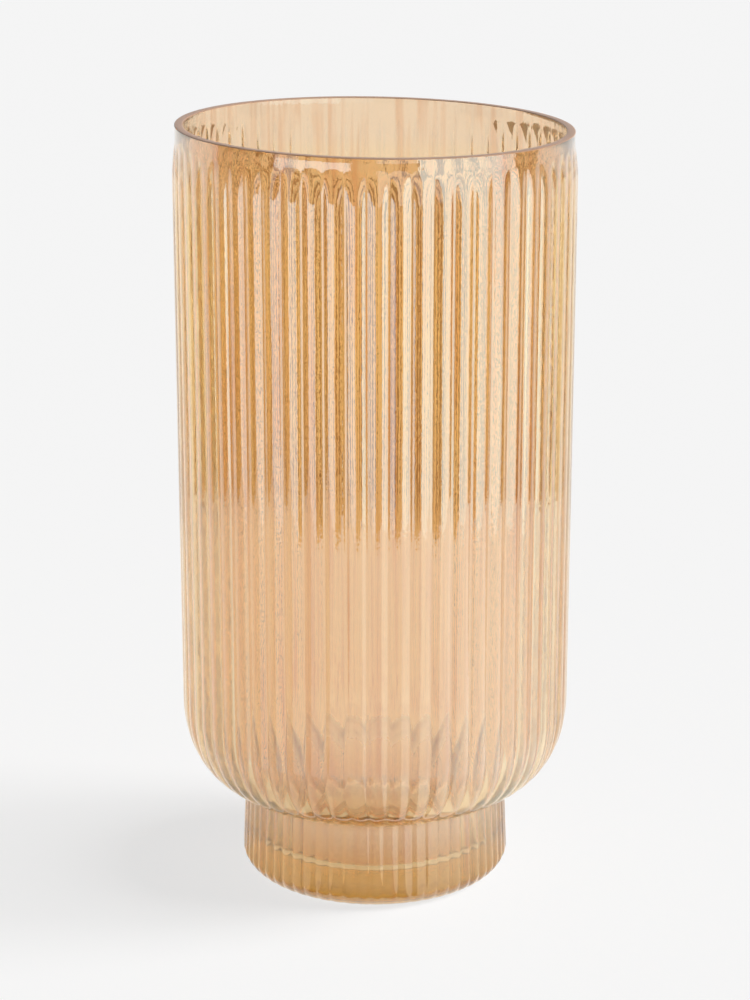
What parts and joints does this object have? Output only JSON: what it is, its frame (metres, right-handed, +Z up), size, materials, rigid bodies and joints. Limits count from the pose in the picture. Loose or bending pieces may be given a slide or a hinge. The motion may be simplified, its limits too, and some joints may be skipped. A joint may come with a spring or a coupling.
{
  "type": "vase",
  "caption": "Tall fluted glass vase: straight ribbed bowl with an open mouth, rounded shoulder and a short ribbed foot on a thick base.",
  "frame": {"origin": "centre of the flat face that the vase stands on", "axes": "+Z up along the vase's axis of rotation; the ground rim falls by one degree towards +X"},
  "size_m": [0.1542, 0.1542, 0.3013],
  "materials": {
    "bowl_glass": "pale peach and amber lustre, glossy",
    "foot_glass": "golden amber lustre, glossy"
  },
  "bodies": {
    "root": {"bowl": "bowl_glass", "foot_ring": "foot_glass", "base_disc": "foot_glass"}
  },
  "joints": []
}
